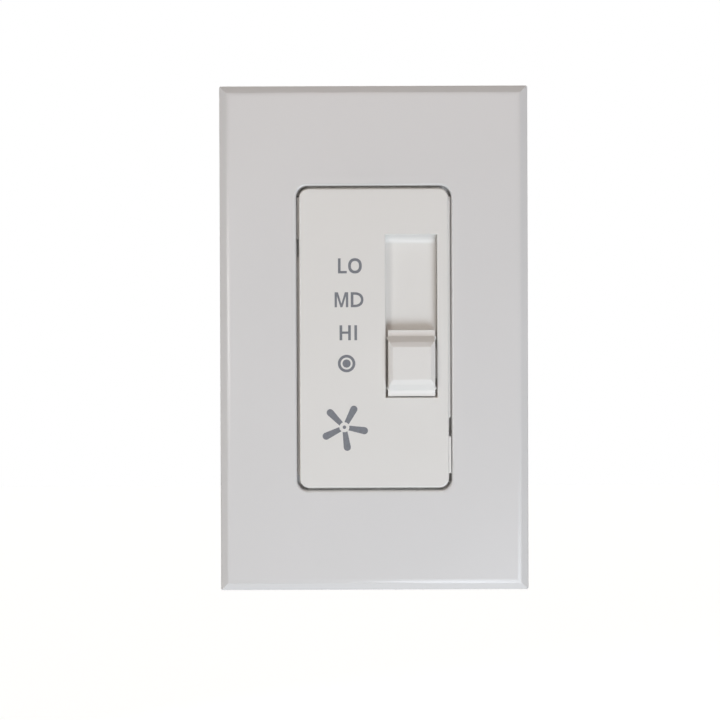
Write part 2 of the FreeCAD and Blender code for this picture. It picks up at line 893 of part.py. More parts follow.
def yoke():
    """Steel strap with plaster ears and side wings that hold the housing."""
    half = housing_width / 2 + wing_clearance
    outer = half + yoke_thickness
    wings_z = (-housing_height / 2, housing_height / 2)
    shell = block((-outer, outer), (yoke_front, yoke_wing_depth), wings_z)
    bends = [
        edge
        for edge in edges_in_plane(shell, yoke_front, (-outer, outer), wings_z)
        if edge.BoundBox.ZLength > housing_height / 2
    ]
    shell = shell.makeFillet(yoke_bend_radius, bends)
    centre = shell.cut(block((-half, half), (0, yoke_wing_depth), wings_z))
    neck = slab(yoke_neck_width, yoke_height, yoke_corner_radius, yoke_front, 0)
    pieces = [centre, neck]
    ear_z = (yoke_height - yoke_ear_height) / 2
    for side in (-1, 1):
        pieces.append(
            slab(yoke_ear_width, yoke_ear_height, yoke_corner_radius, yoke_front, 0, 0, side * ear_z)
        )
    body = joined(pieces)
    cuts = []
    for z in box_screw_places:
        cuts.append(
            slab(box_slot_length, box_slot_width, box_slot_width / 2 - 0.01, yoke_front, 0, 0, z)
        )
    for z in plate_screw_places:
        cuts.append(rod(plate_screw_radius + thread_clearance, yoke_front, 0, 0, z))
    for x in (-ear_score_x, ear_score_x):
        for side in (-1, 1):
            cuts.append(
                slab(ear_score_width, ear_score_length, ear_score_width / 3, yoke_front, 0,
                     x, side * ear_z)
            )
    cuts.append(
        rod(ground_screw_radius + thread_clearance, yoke_front, 0, ground_screw_x, ground_screw_z)
    )
    for x in (-boss_x, boss_x):
        for z in (-boss_z, boss_z):
            cuts.append(turned(rivet_seat(), x, z))
    slot_width = clip_thickness + 2 * clip_clearance
    slot_x = insert_inner_x - clip_thickness / 2
    for side in (-1, 1):
        for z in (-clip_offset_z, clip_offset_z):
            cuts.append(
                slab(slot_width, clip_length + 2 * clip_clearance, slot_width / 4, yoke_front, 0,
                     side * slot_x, z)
            )
    window_left = carriage_boss_left - 2 * guide_gap
    window_right = carriage_right + 2 * guide_gap
    window_length = slide_travel + leg_length + 2 * carriage_margin + 2 * guide_end_gap
    cuts.append(
        slab(
            window_right - window_left,
            window_length,
            0.8,
            yoke_front,
            0,
            (window_left + window_right) / 2,
            knob_z + slide_travel / 2,
        )
    )
    for cutter in cuts:
        body = body.cut(cutter)
    return body


def ground_screw():
    """Hexagon-headed screw behind the yoke for the earth wire."""
    angles = [math.radians(60 * corner) for corner in range(6)]
    points = [
        Vector(
            ground_screw_x + ground_screw_head_radius * math.cos(angle),
            ground_screw_stand_off,
            ground_screw_z + ground_screw_head_radius * math.sin(angle),
        )
        for angle in angles
    ]
    hexagon = Part.Face(Part.makePolygon(points + [points[0]]))
    head = hexagon.extrude(Vector(0, ground_screw_head_height, 0))
    head_back = ground_screw_stand_off + ground_screw_head_height
    shank = rod(
        ground_screw_radius, yoke_front, ground_screw_stand_off, ground_screw_x, ground_screw_z
    )
    slot = block(
        (ground_screw_x - ground_screw_head_radius, ground_screw_x + ground_screw_head_radius),
        (head_back - screw_slot_depth, head_back),
        (ground_screw_z - screw_slot_width / 2, ground_screw_z + screw_slot_width / 2),
    )
    return joined([head, shank]).cut(slot)


def housing_body(inset, front, back, radius):
    """Tapered box of the housing, its walls a given inset inside the outer form."""
    wires = []
    for y in (front, back):
        shrink = inset + housing_draft * y / housing_depth
        wires.append(
            rounded_wire(housing_width - 2 * shrink, housing_height - 2 * shrink, radius, y=y)
        )
    return Part.makeLoft(wires, True, True)


def terminal_block(z):
    """Thick part of the housing wall that a terminal pocket is sunk into."""
    half = pocket_length / 2 + pocket_wall
    return block(
        (-housing_inner_x - housing_wall / 3, pocket_floor_x + pocket_wall),
        (pocket_front - pocket_wall, housing_depth - housing_wall / 2),
        (z - half, z + half),
    )


def terminal_pocket(z):
    """Pocket for a terminal, the passage for its tail and the hole for a wire."""
    pocket = slab(
        pocket_depth + 2,
        pocket_length,
        0.6,
        pocket_front,
        pocket_back,
        pocket_floor_x - pocket_depth / 2 - 1,
        z,
    )
    tail = block(
        (pocket_floor_x - 0.1, pocket_floor_x + pocket_wall + 0.1),
        (pocket_front + 0.3, pocket_front + 0.3 + terminal_thickness + 2 * terminal_clearance),
        (z - terminal_tail_width / 2 - terminal_clearance,
         z + terminal_tail_width / 2 + terminal_clearance),
    )
    screw_y = (pocket_front + pocket_back) / 2 + terminal_thickness
    screw_hole = Part.makeCylinder(
        terminal_screw_radius + terminal_clearance,
        pocket_wall + 0.2,
        Vector(pocket_floor_x - 0.1, screw_y, z),
        Vector(1, 0, 0),
    )
    wire_x = -(housing_width / 2 - pocket_depth / 2)
    wire_hole = rod(wire_hole_radius, pocket_back - 1, housing_depth + 1, wire_x, z)
    return pocket.multiFuse([tail, screw_hole, wire_hole])


def rear_housing():
    """Moulded housing with rivet bosses, board ledges and two terminal pockets."""
    body = housing_body(0.0, 0.0, housing_depth, housing_corner_radius)
    body = body.makeFillet(housing_back_radius, all_edges_in_plane(body, housing_depth))
    hollow = housing_body(
        housing_wall, 0.0, housing_depth - housing_wall, housing_corner_radius - housing_wall / 2
    )
    body = body.cut(hollow)
    back = housing_depth - housing_wall / 2
    additions = [rod(boss_radius, 0, back, x, z) for x in (-boss_x, boss_x) for z in (-boss_z, boss_z)]
    for side in (-1, 1):
        for z in (-board_ledge_z, board_ledge_z):
            outer = housing_inner_x + housing_wall / 3
            inner = housing_inner_x - board_ledge_width
            x_range = (inner, outer) if side > 0 else (-outer, -inner)
            additions.append(
                block(
                    x_range,
                    (board_back, board_back + board_ledge_depth),
                    (z - board_ledge_length / 2, z + board_ledge_length / 2),
                )
            )
    additions += [terminal_block(z) for z in (-terminal_z, terminal_z)]
    body = joined([body] + additions)
    for x in (-boss_x, boss_x):
        for z in (-boss_z, boss_z):
            body = body.cut(rod(rivet_radius + rivet_clearance, -1, housing_depth + 1, x, z))
            sink = housing_depth - rivet_head_height
            body = body.cut(rod(rivet_head_radius + 2 * rivet_clearance, sink, back + 2, x, z))
    for z in (-terminal_z, terminal_z):
        body = body.cut(terminal_pocket(z))
    return body


def housing_rivet(x, z):
    """Rivet through the yoke and the housing, flush in front and with a head behind."""
    sink = housing_depth - rivet_head_height
    dome = rivet_head_radius * 0.7
    profile = [
        (0, yoke_front),
        (rivet_head_radius, yoke_front),
        (rivet_radius, yoke_front + rivet_head_height),
        (rivet_radius, sink),
        (rivet_head_radius, sink),
        (dome, housing_depth),
        (0, housing_depth),
    ]
    return turned(profile, x, z)


def lead_places(x, z, span):
    """Places of the two leads of a component."""
    return ((x - span / 2, z), (x + span / 2, z))


def all_lead_places():
    """Every place where a lead passes into the board."""
    places = []
    for size, place in (
        (large_capacitor, large_capacitor_place),
        (small_capacitor, small_capacitor_place),
    ):
        places += lead_places(place[0], place[1], size[0] * 0.8)
    for place in resistor_places + (fuse_place,):
        places += lead_places(place[0], place[1], axial_lead_span)
    return places


def circuit_board():
    """Board with holes for the leads, the guide's pegs and the terminal tails."""
    body = slab(board_width, board_height, board_corner_radius, board_front, board_back)
    for x, z in all_lead_places():
        body = body.cut(rod(lead_radius + lead_clearance, board_front, board_back, x, z))
    for z in (guide_bottom, guide_top):
        peg_x = guide_left - guide_wall / 2
        body = body.cut(rod(guide_peg_radius + lead_clearance, board_front, board_back, peg_x, z))
    tail_x = pocket_floor_x + terminal_tail_x
    for z in (-terminal_z, terminal_z):
        body = body.cut(
            block(
                (tail_x - terminal_thickness / 2 - terminal_clearance,
                 tail_x + terminal_thickness / 2 + terminal_clearance),
                (board_front, board_back),
                (z - terminal_tail_width / 2 - terminal_clearance,
                 z + terminal_tail_width / 2 + terminal_clearance),
            )
        )
    return body


def film_capacitor(size, place):
    """Box-shaped capacitor behind the board, on two leads."""
    width, depth, height = size
    front = board_back + capacitor_stand_off
    case = block(
        (place[0] - width / 2, place[0] + width / 2),
        (front, front + depth),
        (place[1] - height / 2, place[1] + height / 2),
    )
    case = case.makeChamfer(capacitor_edge_chamfer, case.Edges)
    leads = [
        rod(lead_radius, board_front, front + 1, x, z)
        for x, z in lead_places(place[0], place[1], width * 0.8)
    ]
    return joined([case] + leads)


def bent_lead(place, centre_y):
    """Wire through the middle of a component, bent down into the board at both ends."""
    half_span = axial_lead_span / 2
    corner = lead_bend_radius * (1 - math.sqrt(0.5))
    start = Vector(place[0] - half_span, board_front, place[1])
    path = [start, start + Vector(0, centre_y - board_front - lead_bend_radius, 0)]
    level = Vector(place[0] - half_span + lead_bend_radius, centre_y, place[1])
    middle = Vector(place[0] - half_span + corner, centre_y - corner, place[1])
    mirrored = [Vector(2 * place[0] - point.x, point.y, point.z) for point in (level, middle)]
    far_bend = Vector(2 * place[0] - path[1].x, path[1].y, path[1].z)
    far_end = Vector(2 * place[0] - start.x, start.y, start.z)
    edges = [
        Part.makeLine(path[0], path[1]),
        Part.Arc(path[1], middle, level).toShape(),
        Part.makeLine(level, mirrored[0]),
        Part.Arc(mirrored[0], mirrored[1], far_bend).toShape(),
        Part.makeLine(far_bend, far_end),
    ]
    profile = Part.Wire(Part.makeCircle(lead_radius, start, Vector(0, 1, 0)))
    return Part.Wire(edges).makePipeShell([profile], True, False)


def axial_component(place, radius, length):
    """Round component that lies along X behind the board on bent leads."""
    centre_y = board_back + axial_height
    shoulder = radius * 0.4
    profile = [
        (0, -length / 2),
        (radius - shoulder, -length / 2),
        (radius, -length / 2 + shoulder),
        (radius, length / 2 - shoulder),
        (radius - shoulder, length / 2),
        (0, length / 2),
    ]
    points = [Vector(place[0] + along, centre_y + out, place[1]) for out, along in profile]
    face = Part.Face(Part.makePolygon(points + [points[0]]))
    body = face.revolve(Vector(place[0], centre_y, place[1]), Vector(1, 0, 0), 360)
    return joined([body, bent_lead(place, centre_y)])


def wire_terminal(z):
    """Brass strip folded from its pocket through the housing wall to the board."""
    plate_x = pocket_floor_x - terminal_thickness / 2
    bend_y = pocket_front + 0.3 + terminal_clearance + terminal_thickness / 2
    tail_x = pocket_floor_x + terminal_tail_x
    plate_path = [(plate_x, pocket_back - 2 * terminal_clearance), (plate_x, bend_y)]
    tail_path = [
        (plate_x, bend_y + terminal_thickness),
        (plate_x, bend_y),
        (tail_x, bend_y),
        (tail_x, board_front),
    ]
    solids = []
    for path, width in ((plate_path, terminal_width), (tail_path, terminal_tail_width)):
        low = z - width / 2
        face = strip_face(path, terminal_thickness, lambda x, y: Vector(x, y, low))
        solids.append(face.extrude(Vector(0, 0, width)))
    screw_y = (pocket_front + pocket_back) / 2 + terminal_thickness
    hole = Part.makeCylinder(
        terminal_screw_radius + terminal_clearance,
        2 * terminal_thickness,
        Vector(plate_x - terminal_thickness, screw_y, z),
        Vector(1, 0, 0),
    )
    return joined(solids).cut(hole)


def terminal_screw(z):
    """Screw whose head clamps a wire against the terminal."""
    screw_y = (pocket_front + pocket_back) / 2 + terminal_thickness
    head_back = pocket_floor_x - terminal_thickness
    head_front = head_back - terminal_screw_head_height
    radius = terminal_screw_head_radius
    profile = [
        (0, head_front),
        (radius * 0.7, head_front),
        (radius, head_front + terminal_screw_head_height * 0.45),
        (radius, head_back),
        (terminal_screw_radius, head_back),
        (terminal_screw_radius, head_back + terminal_screw_length - 1),
        (terminal_screw_radius / 2, head_back + terminal_screw_length),
        (0, head_back + terminal_screw_length),
    ]
    points = [Vector(x, screw_y + out, z) for out, x in profile]
    face = Part.Face(Part.makePolygon(points + [points[0]]))
    screw = face.revolve(Vector(0, screw_y, z), Vector(1, 0, 0), 360)
    slot = block(
        (head_front - 1, head_front + screw_slot_depth),
        (screw_y - screw_slot_width / 2, screw_y + screw_slot_width / 2),
        (z - radius - 1, z + radius + 1),
    )
    return screw.cut(slot)


def group(solids):
    """Separate like solids that share one node."""
    return Part.makeCompound(solids)


corner_places = [(x, z) for x in (-boss_x, boss_x) for z in (-boss_z, boss_z)]
sub_parts = {
    "wallplate": wallplate(),
    "subplate": subplate(),
    "subplate_screws": group([plate_screw(z) for z in plate_screw_places]),
    "face_frame": face_frame(),
    "slider_knob": slider_knob(),
    "slide_carriage": slide_carriage(),
    "detent_spring": detent_spring(),
    "wiper_contact": wiper_contact(),
    "slide_guide": slide_guide(),
    "yoke": yoke(),
    "box_screws": group([box_screw(z) for z in box_screw_places]),
    "screw_retainers": group([screw_retainer(z) for z in box_screw_places]),
    "ground_screw": ground_screw(),
    "rear_housing": rear_housing(),
    "housing_rivets": group([housing_rivet(x, z) for x, z in corner_places]),
    "circuit_board": circuit_board(),
    "contact_pads": contact_pads(),
    "capacitor_large": film_capacitor(large_capacitor, large_capacitor_place),
    "capacitor_small": film_capacitor(small_capacitor, small_capacitor_place),
    "bleeder_resistors": group(
        [axial_component(place, resistor_radius, resistor_length) for place in resistor_places]
    ),
    "thermal_fuse": axial_component(fuse_place, fuse_radius, fuse_length),
    "line_terminal": wire_terminal(terminal_z),
    "load_terminal": wire_terminal(-terminal_z),
    "terminal_screws": group([terminal_screw(z) for z in (terminal_z, -terminal_z)]),
}

for name, shape in sub_parts.items():
    shape.exportStep("parts/" + name + ".step")
    print(name, len(shape.Solids), shape.isValid(), round(shape.Volume, 1))
print("slide travel", round(slide_travel, 4), "knob middle", round(knob_z, 4))
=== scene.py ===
import json
import math

import bmesh
import bpy
from mathutils import Matrix, Vector


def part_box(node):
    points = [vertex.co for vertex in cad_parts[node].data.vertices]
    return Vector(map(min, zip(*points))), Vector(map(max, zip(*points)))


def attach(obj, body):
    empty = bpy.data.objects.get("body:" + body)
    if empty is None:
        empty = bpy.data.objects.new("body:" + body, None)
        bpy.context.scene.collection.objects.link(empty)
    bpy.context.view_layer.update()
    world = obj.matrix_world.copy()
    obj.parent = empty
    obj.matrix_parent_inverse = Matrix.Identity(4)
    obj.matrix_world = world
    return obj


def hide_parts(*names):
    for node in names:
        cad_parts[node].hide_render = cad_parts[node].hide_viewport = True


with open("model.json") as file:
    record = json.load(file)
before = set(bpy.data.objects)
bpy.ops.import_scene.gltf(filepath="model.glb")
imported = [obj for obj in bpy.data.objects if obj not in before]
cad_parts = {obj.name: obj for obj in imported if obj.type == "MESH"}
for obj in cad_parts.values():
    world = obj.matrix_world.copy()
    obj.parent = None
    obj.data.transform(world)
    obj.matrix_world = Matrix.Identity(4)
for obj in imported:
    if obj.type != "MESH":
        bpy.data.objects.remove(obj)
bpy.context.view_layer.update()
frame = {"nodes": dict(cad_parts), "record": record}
nodes = frame["nodes"]

MM = 0.001
FULL_TURN = 2 * math.pi
WHITE = (1.0, 1.0, 1.0, 1.0)
FACE_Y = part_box("face_frame")[0].y

# The camera: the scale at the wall plane, the viewing distance, the sensor's width in
# millimetres, and where the plate's middle falls in the square picture.
PICTURE = 720
PIXELS_PER_MM = 4.330
VIEW_DISTANCE = 0.260
SENSOR = 36.0
PLATE_MIDDLE_PIXEL = (374.0, 338.0)
PITCH = math.radians(-0.30)
ROLL = math.radians(0.20)


def add_to_scene(name, data):
    """Object in the scene that shows some data."""
    made = bpy.data.objects.new(name, data)
    bpy.context.scene.collection.objects.link(made)
    return made


def make_camera():
    """Camera in front of the plate's middle, turned as the picture was."""
    data = bpy.data.cameras.new("camera")
    data.sensor_width = SENSOR
    data.lens = PIXELS_PER_MM * VIEW_DISTANCE / MM / PICTURE * SENSOR
    data.shift_x = (PICTURE / 2 - PLATE_MIDDLE_PIXEL[0]) / PICTURE
    data.shift_y = (PLATE_MIDDLE_PIXEL[1] - PICTURE / 2) / PICTURE
    camera = add_to_scene("camera", data)
    place = Vector((0.0, -VIEW_DISTANCE, -VIEW_DISTANCE * math.tan(PITCH)))
    turn = Matrix.Rotation(math.pi / 2 + PITCH, 4, "X") @ Matrix.Rotation(-ROLL, 4, "Z")
    camera.matrix_world = Matrix.Translation(place) @ turn
    bpy.context.scene.camera = camera


# Lamps: key from the lower right, broad high fill, a soft window at the left and one
# behind. Each has its place and size in metres, its power in watts and its colour.
LAMPS = {
    "key": ((0.223, -0.540, -0.405), (0.33, 0.33), 3.28, (0.83, 0.91, 1.0)),
    "high_fill": ((0.05, -0.75, 0.45), (0.6, 0.6), 1.31, (1.0, 0.77, 0.67)),
    "left_window": ((-0.31, -0.51, 0.03), (0.20, 0.19), 0.89, (1.0, 0.97, 0.94)),
    "rear_fill": ((-0.5, 0.9, 0.45), (1.2, 1.2), 5.2, (1.0, 1.0, 1.0)),
}


def make_lights():
    """Soft rectangular lamps, all aimed at the middle of the plate."""
    for name, (place, size, power, colour) in LAMPS.items():
        data = bpy.data.lights.new(name, "AREA")
        data.shape = "RECTANGLE"
        data.size, data.size_y = size
        data.energy = power
        data.color = colour
        lamp = add_to_scene(name, data)
        lamp.location = place
        lamp.rotation_mode = "QUATERNION"
        lamp.rotation_quaternion = (-Vector(place)).to_track_quat("-Z", "Y")


def blank_material(name):
    """Material with an empty principled shader."""
    made = bpy.data.materials.new(name)
    made.use_nodes = True
    return made, made.node_tree, made.node_tree.nodes["Principled BSDF"]


def camera_share(tree):
    """1 for camera, glossy and transmission rays and 0 for the rays that light the object."""
    path = tree.nodes.new("ShaderNodeLightPath")
    total = path.outputs["Is Camera Ray"]
    for output in ("Is Glossy Ray", "Is Transmission Ray"):
        either = tree.nodes.new("ShaderNodeMath")
        either.operation = "MAXIMUM"
        tree.links.new(total, either.inputs[0])
        tree.links.new(path.outputs[output], either.inputs[1])
        total = either.outputs[0]
    return total


# Surroundings and floor, which are white where they are seen and softer as lights.
WORLD_LIGHT = 0.135
WORLD_LIGHT_TINT = (1.0, 0.90, 0.80, 1.0)
WORLD_SEEN = 1.0
FLOOR_Z = -0.58
FLOOR_HALF = 4.0
FLOOR_COLOUR = (0.85, 0.85, 0.85, 1.0)
FLOOR_ROUGHNESS = 0.9
FLOOR_GLOW = 0.85
# Sockets of a Mix node for colours, by number as its other kinds share their names.
MIX_FACTOR, MIX_A, MIX_B, MIX_RESULT = 0, 6, 7, 2


def make_world():
    """Even pale surroundings: white to the eye, softer as a light."""
    world = bpy.data.worlds.new("surroundings")
    world.use_nodes = True
    tree = world.node_tree
    background = tree.nodes["Background"]
    seen = camera_share(tree)
    tint = tree.nodes.new("ShaderNodeMix")
    tint.data_type = "RGBA"
    tint.inputs[MIX_A].default_value = WORLD_LIGHT_TINT
    tint.inputs[MIX_B].default_value = WHITE
    tree.links.new(seen, tint.inputs[MIX_FACTOR])
    tree.links.new(tint.outputs[MIX_RESULT], background.inputs["Color"])
    strength = tree.nodes.new("ShaderNodeMapRange")
    strength.inputs["To Min"].default_value = WORLD_LIGHT
    strength.inputs["To Max"].default_value = WORLD_SEEN
    tree.links.new(seen, strength.inputs["Value"])
    tree.links.new(strength.outputs["Result"], background.inputs["Strength"])
    bpy.context.scene.world = world


def make_floor():
    """Plain pale floor well below the object, which hangs in its wall box."""
    mesh = bpy.data.meshes.new("floor")
    half = FLOOR_HALF
    corners = [(-half, -half), (half, -half), (half, half), (-half, half)]
    mesh.from_pydata([(x, y, FLOOR_Z) for x, y in corners], [], [(0, 1, 2, 3)])
    paint, tree, shader = blank_material("floor_paint")
    shader.inputs["Base Color"].default_value = FLOOR_COLOUR
    shader.inputs["Roughness"].default_value = FLOOR_ROUGHNESS
    shader.inputs["Emission Color"].default_value = WHITE
    glow = tree.nodes.new("ShaderNodeMath")
    glow.operation = "MULTIPLY"
    glow.inputs[1].default_value = FLOOR_GLOW
    tree.links.new(camera_share(tree), glow.inputs[0])
    tree.links.new(glow.outputs[0], shader.inputs["Emission Strength"])
    mesh.materials.append(paint)
    floor = add_to_scene("floor", mesh)


def noise(tree, scale, detail=3.0, stretch=(1.0, 1.0, 1.0), distortion=0.0):
    """Noise over the object's own coordinates, in features per metre."""
    coordinates = tree.nodes.new("ShaderNodeTexCoord")
    mapping = tree.nodes.new("ShaderNodeMapping")
    mapping.inputs["Scale"].default_value = stretch
    texture = tree.nodes.new("ShaderNodeTexNoise")
    texture.inputs["Scale"].default_value = scale
    texture.inputs["Detail"].default_value = detail
    texture.inputs["Distortion"].default_value = distortion
    tree.links.new(coordinates.outputs["Object"], mapping.inputs["Vector"])
    tree.links.new(mapping.outputs["Vector"], texture.inputs["Vector"])
    return texture.outputs["Fac"]


def vary_colour(tree, shader, source, stops, interpolation="LINEAR"):
    """Colour that follows a texture through a list of (position, colour)."""
    node = tree.nodes.new("ShaderNodeValToRGB")
    node.color_ramp.interpolation = interpolation
    elements = node.color_ramp.elements
    while len(elements) < len(stops):
        elements.new(0.5)
    for element, (position, colour) in zip(elements, stops):
        element.position = position
        element.color = (*colour, 1.0)
    tree.links.new(source, node.inputs["Fac"])
    tree.links.new(node.outputs["Color"], shader.inputs["Base Color"])


# The middle of a noise, where most of its values lie.
NOISE_LOW = 0.3
NOISE_HIGH = 0.7


def vary_roughness(tree, shader, source, low, high):
    """Roughness that follows the middle of a noise between two values."""
    node = tree.nodes.new("ShaderNodeMapRange")
    node.inputs["From Min"].default_value = NOISE_LOW
    node.inputs["From Max"].default_value = NOISE_HIGH
    node.inputs["To Min"].default_value = low
    node.inputs["To Max"].default_value = high
    tree.links.new(source, node.inputs["Value"])
    tree.links.new(node.outputs["Result"], shader.inputs["Roughness"])


def add_bump(tree, shader, source, strength, depth):
    """Bump from a height, its depth in metres."""
    bump = tree.nodes.new("ShaderNodeBump")
    bump.inputs["Strength"].default_value = strength
    bump.inputs["Distance"].default_value = depth
    tree.links.new(source, bump.inputs["Height"])
    tree.links.new(bump.outputs["Normal"], shader.inputs["Normal"])


def scaled(colour, factor):
    """A colour made lighter or darker."""
    return tuple(channel * factor for channel in colour)


# What the textures show, in features per metre.
PLASTIC_MOTTLE = 40.0
PLASTIC_GLOSS = 320.0
PLASTIC_GRAIN = 2600.0
METAL_SPANGLE = 140.0
METAL_GRAIN = 900.0
FIBRE_FLECKS = 1100.0
FIBRE_GLOSS = 200.0
LACQUER_GLOSS = 600.0
LACQUER_GRAIN = 900.0
BOARD_TRACKS = 130.0
BOARD_GLOSS = 700.0
INK_GRAIN = 1500.0


def moulded_plastic(name, colour, roughness, mottle=0.012, tint=(1.0, 1.0, 1.0)):
    """Moulded plastic: faint mottling, a fine spark-eroded texture and uneven gloss."""
    made, tree, shader = blank_material(name)
    dark = scaled(colour, 1 - mottle)
    light = tuple(c * (1 + mottle) * t for c, t in zip(colour, tint))
    cloud = noise(tree, PLASTIC_MOTTLE, detail=2.0)
    vary_colour(tree, shader, cloud, [(0.2, dark), (0.8, light)])
    gloss = noise(tree, PLASTIC_GLOSS)
    vary_roughness(tree, shader, gloss, roughness * 0.97, roughness * 1.03)
    grain = noise(tree, PLASTIC_GRAIN, detail=2.0)
    add_bump(tree, shader, grain, strength=0.05, depth=0.02 * MM)
    return made


def plated_metal(name, colour, roughness, stretch):
    """Metal with drawn or rolled grain, spangle and uneven roughness."""
    made, tree, shader = blank_material(name)
    shader.inputs["Metallic"].default_value = 1.0
    spangle = noise(tree, METAL_SPANGLE, detail=5.0, distortion=0.6)
    stops = [(0.3, scaled(colour, 0.82)), (0.55, colour), (0.75, scaled(colour, 1.12))]
    vary_colour(tree, shader, spangle, stops)
    lines = noise(tree, METAL_GRAIN, detail=4.0, stretch=stretch)
    vary_roughness(tree, shader, lines, roughness * 0.75, roughness * 1.3)
    add_bump(tree, shader, lines, strength=0.25, depth=0.015 * MM)
    return made


def speckled(name, colour, fleck, roughness):
    """Filled or fibrous material with fine flecks."""
    made, tree, shader = blank_material(name)
    grain = noise(tree, FIBRE_FLECKS, detail=6.0)
    vary_colour(tree, shader, grain, [(0.42, colour), (0.60, fleck)])
    gloss = noise(tree, FIBRE_GLOSS)
    vary_roughness(tree, shader, gloss, roughness * 0.85, roughness * 1.15)
    add_bump(tree, shader, grain, strength=0.25, depth=0.03 * MM)
    return made


def banded(name, body, bands, centre, pitch, roughness):
    """Lacquered component with coloured rings round its length."""
    made, tree, shader = blank_material(name)
    coordinates = tree.nodes.new("ShaderNodeTexCoord")
    split = tree.nodes.new("ShaderNodeSeparateXYZ")
    tree.links.new(coordinates.outputs["Object"], split.inputs["Vector"])
    steps = 2 * len(bands) + 1
    reach = pitch * steps
    along = tree.nodes.new("ShaderNodeMapRange")
    along.inputs["From Min"].default_value = centre - reach / 2
    along.inputs["From Max"].default_value = centre + reach / 2
    tree.links.new(split.outputs["X"], along.inputs["Value"])
    stops = [(step / steps, bands[step // 2] if step % 2 else body) for step in range(steps)]
    vary_colour(tree, shader, along.outputs["Result"], stops, "CONSTANT")
    gloss = noise(tree, LACQUER_GLOSS)
    vary_roughness(tree, shader, gloss, roughness * 0.8, roughness * 1.2)
    add_bump(tree, shader, noise(tree, LACQUER_GRAIN), strength=0.2, depth=0.02 * MM)
    return made


def solder_mask(name):
    """Green board lacquer over copper tracks that show as lighter, raised cells."""
    made, tree, shader = blank_material(name)
    coordinates = tree.nodes.new("ShaderNodeTexCoord")
    tracks = tree.nodes.new("ShaderNodeTexVoronoi")
    tracks.feature = "DISTANCE_TO_EDGE"
    tracks.inputs["Scale"].default_value = BOARD_TRACKS
    tree.links.new(coordinates.outputs["Object"], tracks.inputs["Vector"])
    edge = tracks.outputs["Distance"]
    stops = [(0.05, (0.012, 0.075, 0.03)), (0.09, (0.03, 0.17, 0.07))]
    vary_colour(tree, shader, edge, stops)
    vary_roughness(tree, shader, noise(tree, BOARD_GLOSS), 0.3, 0.45)
    add_bump(tree, shader, edge, strength=0.4, depth=0.05 * MM)
    return made


def printing_ink(name, colour):
    """Printed ink that covers a little unevenly."""
    made, tree, shader = blank_material(name)
    cover = noise(tree, INK_GRAIN)
    stops = [(0.35, scaled(colour, 0.92)), (0.65, scaled(colour, 1.12))]
    vary_colour(tree, shader, cover, stops)
    vary_roughness(tree, shader, cover, 0.45, 0.6)
    return made


WHITE_PLATE = (0.640, 0.638, 0.632)
WHITE_INSERT = (0.702, 0.696, 0.672)
WHITE_KNOB = (0.715, 0.708, 0.684)
INK = (0.150, 0.160, 0.180)
RESISTOR_BANDS = [(0.35, 0.05, 0.03), (0.05, 0.04, 0.04), (0.75, 0.45, 0.05)]
BAND_CENTRE = -3.0 * MM
BAND_PITCH = 0.8 * MM
ALONG_Z = (1.0, 1.0, 0.05)
ALONG_Y = (1.0, 0.06, 1.0)

finishes = {
    "plate_plastic": moulded_plastic("plate_plastic", WHITE_PLATE, 0.29, tint=(1.0, 0.998, 1.0)),
    "insert_plastic": moulded_plastic("insert_plastic", WHITE_INSERT, 0.30),
    "knob_plastic": moulded_plastic("knob_plastic", WHITE_KNOB, 0.30),
    "strap_steel": plated_metal("strap_steel", (0.52, 0.52, 0.50), 0.40, ALONG_Z),
    "screw_steel": plated_metal("screw_steel", (0.56, 0.55, 0.52), 0.32, ALONG_Y),
    "retainer_fibre": speckled("retainer_fibre", (0.30, 0.06, 0.035), (0.42, 0.12, 0.07), 0.7),
    "ground_screw_green": plated_metal("ground_screw_green", (0.03, 0.30, 0.11), 0.35, ALONG_Y),
    "housing_plastic": speckled(
        "housing_plastic", (0.020, 0.020, 0.022), (0.040, 0.039, 0.040), 0.46
    ),
    "mechanism_plastic": moulded_plastic("mechanism_plastic", (0.55, 0.53, 0.47), 0.45, 0.03),
    "spring_bronze": plated_metal("spring_bronze", (0.66, 0.42, 0.24), 0.30, ALONG_Z),
    "contact_metal": plated_metal("contact_metal", (0.78, 0.66, 0.38), 0.30, ALONG_Z),
    "board_laminate": solder_mask("board_laminate"),
    "capacitor_case": speckled("capacitor_case", (0.16, 0.17, 0.19), (0.20, 0.21, 0.23), 0.5),
    "resistor_coat": banded(
        "resistor_coat", (0.50, 0.38, 0.22), RESISTOR_BANDS, BAND_CENTRE, BAND_PITCH, 0.4
    ),
    "fuse_body": speckled("fuse_body", (0.66, 0.65, 0.60), (0.74, 0.73, 0.70), 0.5),
    "terminal_brass": plated_metal("terminal_brass", (0.74, 0.55, 0.26), 0.30, ALONG_Z),
}

# Corners sharper than this stay creased, on the solids and on the pieces made here.
SOLID_ANGLE = math.radians(32)
SCENE_ANGLE = math.radians(70)
WELD_REACH = 0.0005 * MM
FLAT_WEIGHT = 100


def smooth(piece, angle):
    """Smooth shading over a piece's round faces, with its creases kept."""
    piece.data.shade_smooth()
    weld = piece.modifiers.new("weld", "WELD")
    weld.merge_threshold = WELD_REACH
    creases = piece.modifiers.new("creases", "EDGE_SPLIT")
    creases.split_angle = angle
    flats = piece.modifiers.new("flats", "WEIGHTED_NORMAL")
    flats.weight = FLAT_WEIGHT


def dress_nodes():
    """Gives every construction piece its finish and its shading."""
    slots = {entry["node"]: entry["material_slot"] for entry in frame["record"]["subparts"]}
    for name, node in nodes.items():
        mesh = node.data
        mesh.materials.clear()
        mesh.materials.append(finishes[slots[name]])
        if "custom_normal" in mesh.attributes:
            mesh.attributes.remove(mesh.attributes["custom_normal"])
        smooth(node, SOLID_ANGLE)


